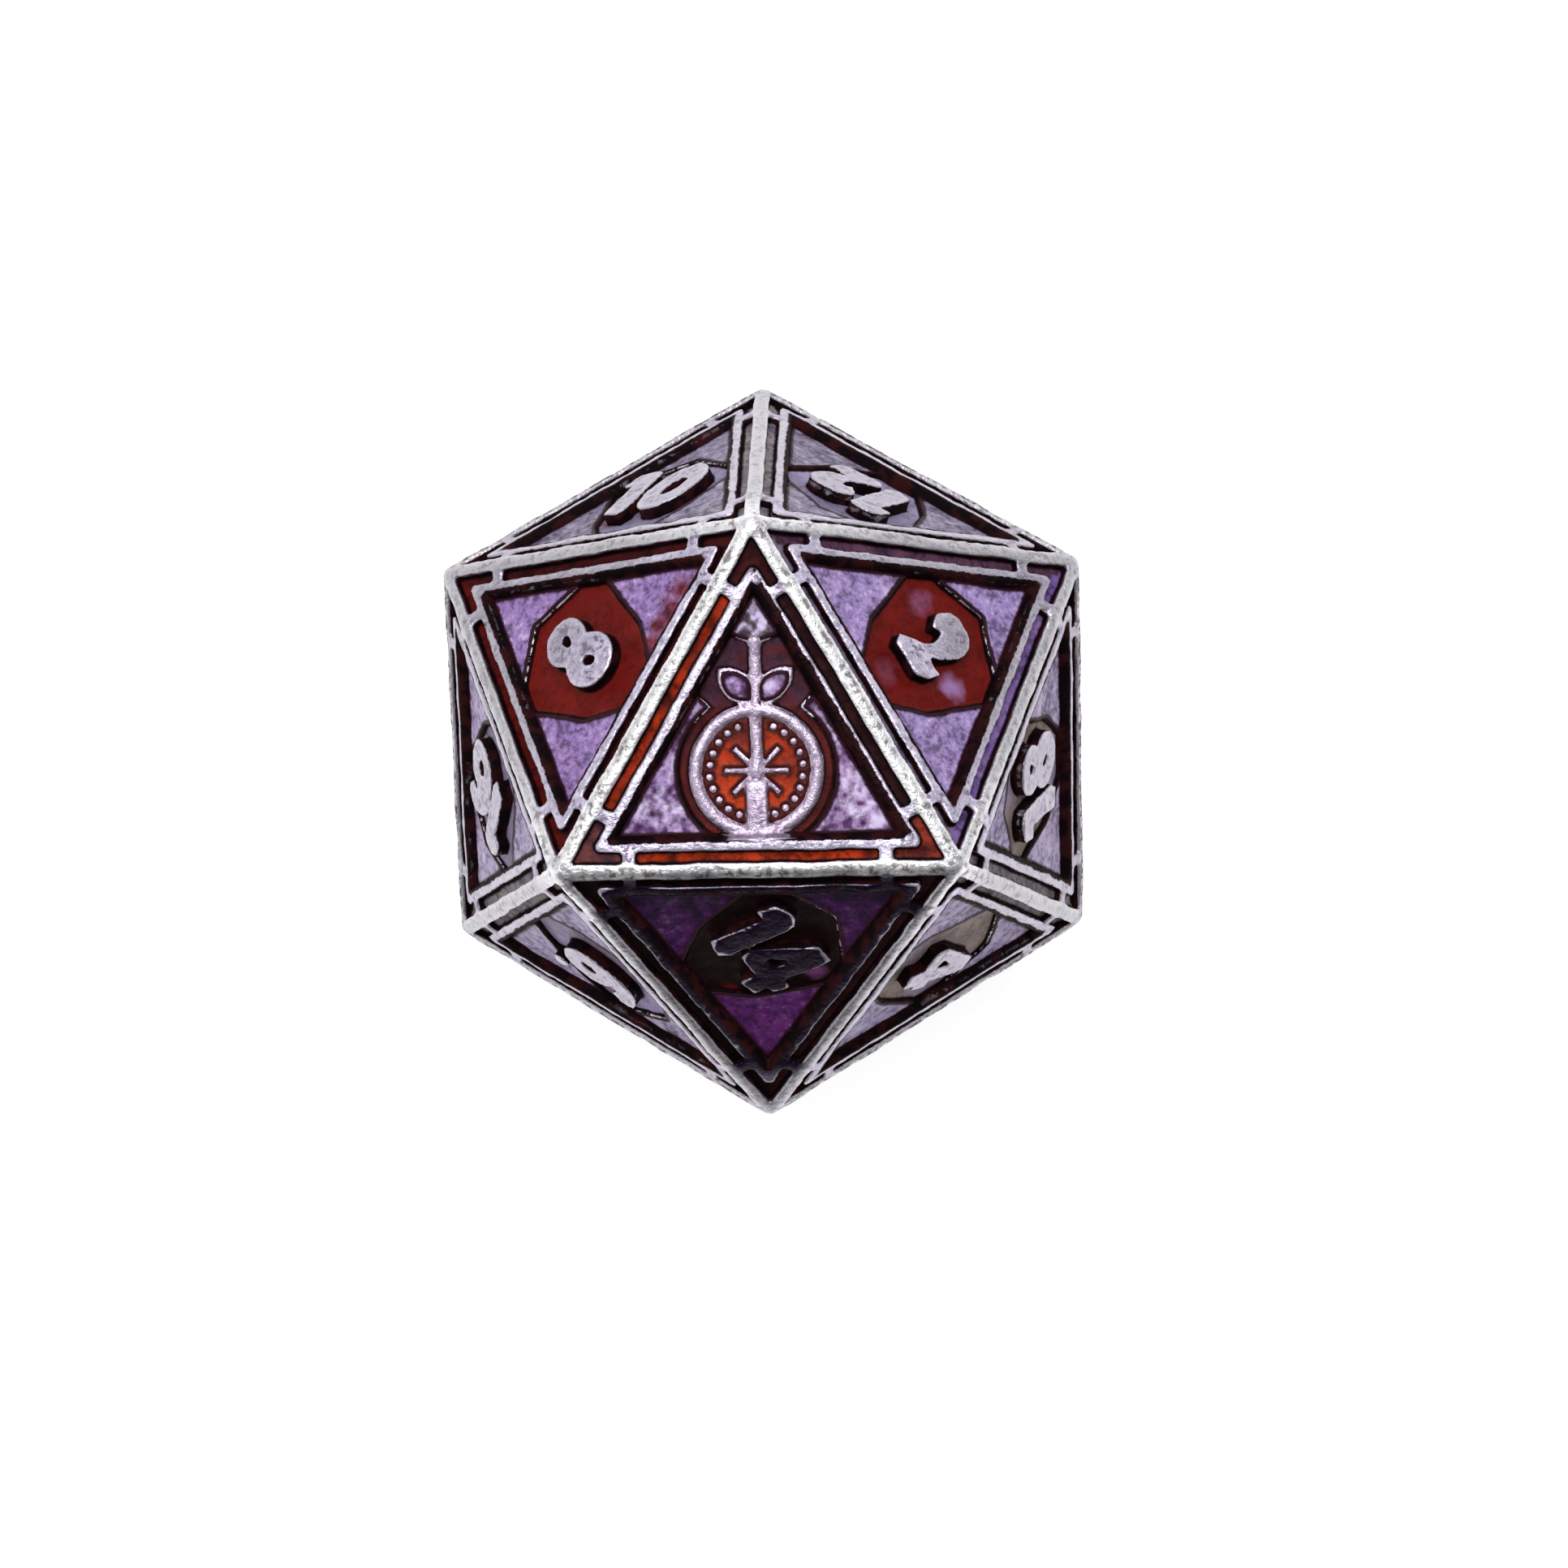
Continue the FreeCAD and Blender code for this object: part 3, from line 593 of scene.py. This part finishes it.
def field_paint(flat, patch):
    return mixed(ORANGE, EMBER, 0.30 + 0.3 * (flat[:, 1] + 0.5) + 0.6 * patch)


def ground_paint(flat, patch, fleck):
    behind_staff = np.clip((flat[:, 1] - STAFF_FOOT) * 2, 0, 1)
    colour = mixed(DARK_RED, BRICK, 0.4 + 0.7 * patch)
    return mixed(colour, DULL_PURPLE, behind_staff * (0.8 + 0.5 * fleck))


def paint(kind, number, flat, points):
    """The fill's own colour, before the fine mottling that its material adds."""
    patch = value_noise(points, 0.6, 42)
    fleck = value_noise(points, 0.28, 43)
    if kind == "panel":
        colour = panel_paint(number, flat, points, patch, fleck)
    elif kind == "recess":
        colour = recess_paint(number, points, patch)
    elif kind == "border":
        colour = border_paint(number, flat, patch, fleck)
    elif kind == "field":
        colour = field_paint(flat, patch)
    else:
        colour = ground_paint(flat, patch, fleck)
    for face, fill, place, reach, tint in SMEARS:
        if (face, fill) == (number, kind):
            away = np.linalg.norm(flat[:, :2] - place, axis=1) / reach
            colour = mixed(colour, tint, (1.0 - away + 0.3 * fleck + 0.3 * patch) * 1.3)
    return colour


def poured_fill(points, triangles, kind, spacing):
    """One fill, with a meniscus and a little unevenness on top, sides that reach into the metal,
    and a flat underside: its points, each one's distance from the edge, colours and faces."""
    used = np.unique(triangles)
    number = NUMBERS[int(np.argmax(NORMALS @ points[used].mean(axis=0)))]
    axes = AXES[number]
    local = points @ axes.T
    top = local[used, 2].max()
    upper = triangles[(local[triangles][:, :, 2] > top - TOP_TOLERANCE).all(axis=1)]
    flat, edge, fills, outline = fill_patch(boundary_loops(local[:, :2], upper), spacing)
    count = len(flat)

    def raised(height):
        return np.concatenate([flat, height[:, None]], axis=1) @ axes

    level = raised(np.full(count, top))
    height = top + MENISCUS_HEIGHT * np.exp(-(edge / MENISCUS_WIDTH) ** 2)
    for (size, rise), seed in ((SMALL_LUMPS, 51), (LARGE_LUMPS, 52)):
        height = height + value_noise(level, size, seed) * rise
    above = hand_made(raised(height))
    below = hand_made(raised(np.full(count, top - ENAMEL_DEPTH)))
    faces = [tuple(tri) for tri in fills]
    faces += [tuple(count + v for v in tri[::-1]) for tri in fills]
    faces += [(b, a, count + a, count + b) for a, b in outline]
    colour = paint(kind, number, flat, level)
    return (np.concatenate([above, below]), np.concatenate([edge, edge]),
            np.concatenate([colour, colour]), faces)


def enamel_piece(node, kind, spacing):
    """One piece for all the fills of one CAD node."""
    points, edges, colours, faces = [], [], [], []
    base = 0
    for solid in components(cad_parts[node].data):
        fill_points, fill_edge, fill_colours, fill_faces = poured_fill(*solid, kind, spacing)
        points.append(fill_points)
        edges.append(fill_edge)
        colours.append(fill_colours)
        faces += [tuple(int(base + v) for v in face) for face in fill_faces]
        base += len(fill_points)
    mesh = bpy.data.meshes.new(f"poured_{node}")
    mesh.from_pydata(((np.concatenate(points) + CENTRE) * MM).tolist(), [], faces)
    set_values(mesh, "edge", np.concatenate(edges))
    set_colours(mesh, "paint", np.concatenate(colours))
    mesh.polygons.foreach_set("use_smooth", [True] * len(mesh.polygons))
    mesh.update()
    piece = bpy.data.objects.new(f"poured_{node}", mesh)
    bpy.context.scene.collection.objects.link(piece)
    return piece


# ---------------------------------------------------------------- materials

class Nodes:
    """A material's node tree, with short ways to add what the materials here use.  Places and
    lengths in it are in mm."""

    def __init__(self, name):
        self.material = bpy.data.materials.new(name)
        self.material.use_nodes = True
        self.tree = self.material.node_tree
        self.shader = self.tree.nodes["Principled BSDF"]
        place = self.tree.nodes.new("ShaderNodeTexCoord")
        self.place = self.vector("MULTIPLY", place.outputs["Object"], (1000, 1000, 1000))

    def feed(self, socket, value):
        if isinstance(value, bpy.types.NodeSocket):
            self.tree.links.new(value, socket)
        else:
            socket.default_value = value

    def vector(self, operation, one, two):
        node = self.tree.nodes.new("ShaderNodeVectorMath")
        node.operation = operation
        self.feed(node.inputs[0], one)
        self.feed(node.inputs[1], two)
        return node.outputs[0]

    def math(self, operation, one, two=0.0, clamp=False):
        node = self.tree.nodes.new("ShaderNodeMath")
        node.operation = operation
        node.use_clamp = clamp
        self.feed(node.inputs[0], one)
        self.feed(node.inputs[1], two)
        return node.outputs[0]

    def both(self, one, two):
        return self.math("MULTIPLY", one, two)

    def either(self, one, two):
        return self.math("MAXIMUM", one, two)

    def inverse(self, value):
        return self.math("SUBTRACT", 1.0, value)

    def total(self, *parts):
        """The sum of pairs of a value and its weight."""
        products = [self.both(value, weight) for value, weight in parts]
        total = products[0]
        for product in products[1:]:
            total = self.math("ADD", total, product)
        return total

    def span(self, value, low, high, start=0.0, end=1.0):
        """A smooth ramp of value from low to high, between start and end."""
        node = self.tree.nodes.new("ShaderNodeMapRange")
        node.interpolation_type = "SMOOTHSTEP"
        self.feed(node.inputs["Value"], value)
        for key, number in zip(("From Min", "From Max", "To Min", "To Max"),
                               (low, high, start, end)):
            node.inputs[key].default_value = number
        return node.outputs[0]

    def blend(self, share, one, two, kind="MIX"):
        node = self.tree.nodes.new("ShaderNodeMix")
        node.data_type = "RGBA"
        node.blend_type = kind
        self.feed(node.inputs[0], share)
        for socket, value in ((node.inputs[6], one), (node.inputs[7], two)):
            self.feed(socket, (*value, 1) if isinstance(value, tuple) else value)
        return node.outputs[2]

    def between(self, share, one, two):
        node = self.tree.nodes.new("ShaderNodeMix")
        self.feed(node.inputs[0], share)
        self.feed(node.inputs[2], one)
        self.feed(node.inputs[3], two)
        return node.outputs[0]

    def attribute(self, name, output="Fac"):
        node = self.tree.nodes.new("ShaderNodeAttribute")
        node.attribute_name = name
        return node.outputs[output]

    def noise(self, scale, detail=2.0, rough=0.5, twist=0.0):
        """Noise from 0 to 1 with scale lumps to the millimetre."""
        node = self.tree.nodes.new("ShaderNodeTexNoise")
        self.feed(node.inputs["Vector"], self.place)
        for key, number in (("Scale", scale), ("Detail", detail), ("Roughness", rough),
                            ("Distortion", twist)):
            node.inputs[key].default_value = number
        return node.outputs["Fac"]

    def bump(self, height, distance, strength=1.0):
        node = self.tree.nodes.new("ShaderNodeBump")
        node.inputs["Strength"].default_value = strength
        node.inputs["Distance"].default_value = distance
        self.feed(node.inputs["Height"], height)
        self.feed(self.shader.inputs["Normal"], node.outputs[0])

    def set(self, **values):
        for key, value in values.items():
            self.feed(self.shader.inputs[key.replace("_", " ")], value)


FRAME_SILVER = (0.50, 0.445, 0.60)
FRAME_SHINE = (0.74, 0.69, 0.84)
FRAME_PIT = (0.20, 0.155, 0.23)
RIDGE_SILVER = (0.66, 0.65, 0.68)
RIDGE_SHINE = (0.95, 0.95, 0.95)
RIDGE_PIT = (0.22, 0.205, 0.215)
LOW_METAL = (0.60, 0.62, 0.53)          # multiplies the metal of faces that look sideways
UNCHANGED = (1.0, 1.0, 1.0)
EMBLEM_PINK = (0.42, 0.29, 0.41)
GRIME = (0.030, 0.018, 0.018)
# Painted shade on the metal of face 14.
FACE_14_SHADE_COLOUR = (0.012, 0.005, 0.017)
# Painted shade on the inner half of face 20's frame, on its right.
SHADE_RIGHT_OF_20_COLOUR = (0.016, 0.006, 0.007)
DARK_PATINA = (0.005, 0.002, 0.003)
RED_PATINA = (0.026, 0.005, 0.006)
SCUFF = (0.90, 0.86, 0.95)              # flecks in enamel are paler towards this


class Casting(Nodes):
    """What the casting's colours are made from: noises, and the depth, crest and hollow that
    are stored on its mesh, in mm.  Crest grows from 0 on a ridge to 0.7 at a frame's inner
    edge, and hollow is below 0 on outer edges and above 0 in corners."""

    def __init__(self):
        super().__init__("antique_silver")
        self.speckle = self.noise(4.5, 3.0, 0.62)
        self.blotch = self.noise(1.5, 2.0, 0.5)
        self.grain = self.noise(17, 3.0, 0.6)
        self.depth = self.attribute("depth")
        self.crest = self.attribute("crest")
        self.hollow = self.attribute("hollow")
        ragged = self.both(self.math("SUBTRACT", self.speckle, 0.5), 0.12)
        self.ragged_depth = self.math("ADD", self.depth, ragged)
        self.ragged_crest = self.math("ADD", self.crest, ragged)
        self.rubbed = self.span(self.attribute("rubbed"), 0.62, 0.86, 0.35, 1.0)
        self.outside_panel = self.span(self.crest, 1.00, 0.90)

    def bare(self):
        """1 where metal shows, and 0 where it is dark: patina on walls and floors and in corners,
        and a dark band along each frame's inner edge."""
        at_panel = self.both(self.span(self.ragged_crest, 0.670, 0.705), self.outside_panel)
        top = self.both(self.span(self.ragged_depth, 0.080, 0.125, 1.0, 0.0),
                        self.inverse(at_panel))
        emblem = self.both(self.span(self.ragged_depth, 0.47, 0.40), self.attribute("ornament"))
        lip = self.both(self.span(self.hollow, -0.010, -0.030),
                        self.both(self.span(self.depth, 0.43, 0.38), self.attribute("lip")))
        # bare metal in spots on the roof lips: painted highlights
        lip_highlights = self.both(lip, self.span(self.speckle, 0.47, 0.53))
        in_corner = self.span(self.hollow, 0.010, 0.040)
        return self.both(self.either(self.either(top, emblem), lip_highlights),
                         self.inverse(in_corner))

    def pits(self):
        mix = self.total((self.speckle, 0.7), (self.blotch, 0.3))
        return self.both(self.span(mix, 0.42, 0.47, 1.0, 0.0),
                         self.span(self.rubbed, 0.35, 1.0, 0.55, 1.0))

    def clean_colour(self, pits):
        """Lavender grey on frames and numerals, and brighter on rubbed ridges and edges."""
        ridge = self.both(self.span(self.crest, 0.235, 0.180), self.rubbed)
        shine = self.both(self.span(self.speckle, 0.46, 0.66), self.rubbed)
        bright = self.blend(ridge, FRAME_SHINE, RIDGE_SHINE)
        colour = self.blend(shine, self.blend(ridge, FRAME_SILVER, RIDGE_SILVER), bright)
        colour = self.blend(pits, colour, self.blend(ridge, FRAME_PIT, RIDGE_PIT))
        edge = self.span(self.hollow, -0.010, -0.034)
        colour = self.blend(self.both(edge, 0.6), colour, bright)
        return self.blend(1.0, colour, self.blend(self.rubbed, LOW_METAL, UNCHANGED), "MULTIPLY")

    def grimed_and_shaded(self, colour):
        """Patchy grime on the ridges round the middle, a pinker emblem, and painted shade on the
        metal of face 14 and on the inner half of face 20's frame on its right."""
        grime = self.both(self.attribute("waist"),
                          self.both(self.span(self.ragged_crest, 0.19, 0.13),
                                    self.span(self.speckle, 0.56, 0.46, 0.15, 0.95)))
        colour = self.blend(grime, colour, GRIME)
        colour = self.blend(self.both(self.attribute("ornament"), 0.5), colour, EMBLEM_PINK)
        # painted shade on face 14's metal, kept lighter on its sharp edges
        sharp = self.span(self.hollow, -0.026, -0.048)
        face_14_shade = self.both(self.attribute("face_14_shade"), self.span(sharp, 0.1, 0.9, 1.0, 0.30))
        colour = self.blend(face_14_shade, colour, FACE_14_SHADE_COLOUR)
        # painted shade: the inner half of face 20's frame on its right is darkened
        shaded_half = self.both(self.span(self.ragged_crest, 0.555, 0.585),
                               self.both(self.outside_panel, self.attribute("shade_right_of_20")))
        return self.blend(shaded_half, colour, SHADE_RIGHT_OF_20_COLOUR)


def antique_silver():
    """Plated zinc: rubbed bright on the ridges, lavender grey on frames and numerals, and
    brown-black patina on the walls and in the pits."""
    n = Casting()
    bare = n.bare()
    pits = n.pits()
    metal = n.grimed_and_shaded(n.clean_colour(pits))
    patina = n.blend(n.span(n.blotch, 0.45, 0.62), DARK_PATINA, RED_PATINA)
    smooth = n.between(bare, 0.50, n.between(pits, 0.27, 0.42))
    n.set(Base_Color=n.blend(bare, patina, metal), Metallic=n.span(bare, 0.1, 0.8, 0.0, 1.0),
          Roughness=n.math("ADD", n.both(n.grain, 0.16), smooth), Specular_IOR_Level=0.03)
    n.bump(n.total((n.speckle, 1.0), (n.grain, 0.30)), 0.00006, 0.9)
    return n.material


def enamel(name, halo, halo_width, mottle, roughness, gloss, flecks=0.0):
    """Poured enamel in its own colour, darker where it meets the metal: partly the enamel's own
    darker edge and partly painted shade from the walls beside it.
    """
    n = Nodes(name)
    cloud = n.noise(1.1, 3.0, 0.6, twist=0.4)
    speckle = n.noise(6.5, 3.0, 0.62)
    blots = n.noise(3.0, 3.0, 0.6, twist=0.3)
    colour = n.attribute("paint", "Color")
    shade = n.total((speckle, 0.30), (blots, 0.40), (cloud, 0.30))
    dark = n.blend(1.0, colour, (1 - 0.75 * mottle,) * 3, "MULTIPLY")
    # dark paints have fainter flecks
    strength = n.math("MULTIPLY", n.attribute("paint"), 3.5 * flecks, clamp=True)
    light = n.blend(strength, colour, n.blend(0.55 * mottle, colour, SCUFF))
    flecked = n.blend(n.span(shade, 0.52, 0.68), colour, light)
    mottled = n.blend(n.span(shade, 0.54, 0.40), flecked, dark)
    # the dark rim along the metal is partly painted shade
    ragged = n.both(n.math("SUBTRACT", shade, 0.5), 0.9 * halo_width)
    rim = n.span(n.math("ADD", n.attribute("edge"), ragged), halo_width, 0.4 * halo_width)
    n.set(Base_Color=n.blend(rim, mottled, halo), Specular_IOR_Level=gloss,
          Roughness=n.span(shade, 0.35, 0.65, roughness + 0.10, roughness - 0.06))
    n.bump(n.total((speckle, 0.6), (blots, 0.4)), 0.00004, 0.6)
    return n.material


def studio_floor():
    n = Nodes("studio_floor")
    tone = n.noise(0.02, 2.0, 0.5)
    n.set(Base_Color=n.blend(tone, (0.60, 0.60, 0.60), (0.64, 0.64, 0.64)), Roughness=0.8)
    n.shader.inputs["Emission Color"].default_value = (1, 1, 1, 1)
    n.shader.inputs["Emission Strength"].default_value = 0.72
    return n.material


# ---------------------------------------------------------------- the die

MATERIALS = {
    "antique_silver": antique_silver(),
    "lavender_enamel": enamel("lavender_enamel", halo=(0.022, 0.004, 0.010), halo_width=0.14,
                              mottle=0.85, roughness=0.42, gloss=0.08, flecks=0.9),
    "red_brown_enamel": enamel("red_brown_enamel", halo=(0.014, 0.002, 0.003), halo_width=0.09,
                               mottle=0.45, roughness=0.45, gloss=0.06),
    "border_enamel": enamel("border_enamel", halo=(0.008, 0.002, 0.003), halo_width=0.12,
                            mottle=0.80, roughness=0.45, gloss=0.05),
    "orange_red_enamel": enamel("orange_red_enamel", halo=(0.050, 0.005, 0.004),
                                halo_width=0.13, mottle=0.60, roughness=0.42, gloss=0.12),
}

# How the names of the enamel nodes begin: what each is, its finish and its points' spacing.
FILLS = {
    "panel_enamel": ("panel", "lavender_enamel", COARSE),
    "recess_enamel": ("recess", "red_brown_enamel", COARSE),
    "border_enamel": ("border", "border_enamel", MEDIUM),
    "medallion_field": ("field", "orange_red_enamel", MEDIUM),
    "medallion_ground": ("ground", "red_brown_enamel", MEDIUM),
}


def finish_piece(piece, node, slot):
    piece.data.materials.append(MATERIALS[slot])
    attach(piece, "root")
    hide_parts(node)


def make_die():
    finish_piece(make_casting(), "die_casting", "antique_silver")
    for node in sorted(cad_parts):
        for beginning, (kind, slot, spacing) in FILLS.items():
            if node.startswith(beginning):
                if spacing == COARSE and node.endswith(FINELY_PAINTED):
                    spacing = FINE
                finish_piece(enamel_piece(node, kind, spacing), node, slot)


make_die()


# ---------------------------------------------------------------- stage, lights and camera

FLOOR_RADIUS = 2.5      # m
FLOOR_CORNERS = 64
DIE_CENTRE = Vector((0, 0, FACE_PLANE * MM))

# The dome that lights the die is brightest in the direction DOME_SIDE.  It darkens as the cosine
# of the angle from there falls from the second to the first number of DOME_FALL.
DOME_SIDE = (0, 0.77, 0.64)
DOME_FALL = (-0.60, 0.90)
DOME_STRENGTH = (0.22, 0.62)
ROOM_STRENGTH = 0.92

# The world's turn into the camera's axes, as an axis times an angle, and where the die's centre
# lies in those axes, in lengths of the die's edge.
CAMERA_TURN = (0.0251, -0.0321, 0.0172)
CAMERA_SHIFT = (-0.0447, 0.0929, -15.587)
LENS = 139.5            # mm, for a film 36 mm wide
FILM = 36


def make_floor():
    mesh = bpy.data.meshes.new("studio_floor")
    turns = [2 * math.pi * k / FLOOR_CORNERS for k in range(FLOOR_CORNERS)]
    rim = [(FLOOR_RADIUS * math.cos(turn), FLOOR_RADIUS * math.sin(turn), 0) for turn in turns]
    mesh.from_pydata(rim, [], [tuple(range(FLOOR_CORNERS))])
    mesh.materials.append(studio_floor())
    floor = bpy.data.objects.new("studio_floor", mesh)
    bpy.context.scene.collection.objects.link(floor)


def area_light(name, azimuth, elevation, distance, size, watts):
    """A white square soft box that faces the die."""
    light = bpy.data.lights.new(name, "AREA")
    light.size = size
    light.energy = watts
    lamp = bpy.data.objects.new(name, light)
    a, e = math.radians(azimuth), math.radians(elevation)
    offset = Vector((math.cos(e) * math.cos(a), math.cos(e) * math.sin(a), math.sin(e)))
    lamp.location = DIE_CENTRE + offset * distance
    lamp.rotation_euler = offset.to_track_quat("Z", "Y").to_euler()
    bpy.context.scene.collection.objects.link(lamp)


def make_world():
    """A pale room for the camera, and for the die a soft dome that is dark low down in front."""
    world = bpy.data.worlds.new("studio")
    bpy.context.scene.world = world
    world.use_nodes = True
    tree = world.node_tree
    ground = tree.nodes["Background"]
    place = tree.nodes.new("ShaderNodeTexCoord")
    aim = tree.nodes.new("ShaderNodeVectorMath")
    aim.operation = "DOT_PRODUCT"
    aim.inputs[1].default_value = DOME_SIDE
    tree.links.new(place.outputs["Generated"], aim.inputs[0])
    spread = tree.nodes.new("ShaderNodeMapRange")
    spread.interpolation_type = "SMOOTHSTEP"
    for key, number in zip(("From Min", "From Max", "To Min", "To Max"),
                           DOME_FALL + DOME_STRENGTH):
        spread.inputs[key].default_value = number
    tree.links.new(aim.outputs["Value"], spread.inputs["Value"])
    path = tree.nodes.new("ShaderNodeLightPath")
    seen = tree.nodes.new("ShaderNodeMix")
    tree.links.new(path.outputs["Is Camera Ray"], seen.inputs[0])
    tree.links.new(spread.outputs[0], seen.inputs[2])
    seen.inputs[3].default_value = ROOM_STRENGTH
    tree.links.new(seen.outputs[0], ground.inputs["Strength"])
    ground.inputs["Color"].default_value = (1, 1, 1, 1)


def make_camera():
    turn = Vector(CAMERA_TURN)
    rotation = Matrix.Rotation(turn.length, 3, turn.normalized()).transposed()
    lens = bpy.data.cameras.new("camera")
    lens.lens = LENS
    lens.sensor_width = FILM
    lens.clip_start = 0.01
    camera = bpy.data.objects.new("camera", lens)
    place = DIE_CENTRE - rotation @ Vector(CAMERA_SHIFT) * EDGE * MM
    camera.matrix_world = Matrix.Translation(place) @ rotation.to_4x4()
    bpy.context.scene.collection.objects.link(camera)
    bpy.context.scene.camera = camera


make_floor()
make_world()
area_light("key_light", azimuth=92, elevation=64, distance=0.40, size=0.26, watts=1.1)
area_light("side_light", azimuth=200, elevation=30, distance=0.45, size=0.25, watts=0.25)
make_camera()
bpy.context.scene.view_settings.view_transform = "Standard"
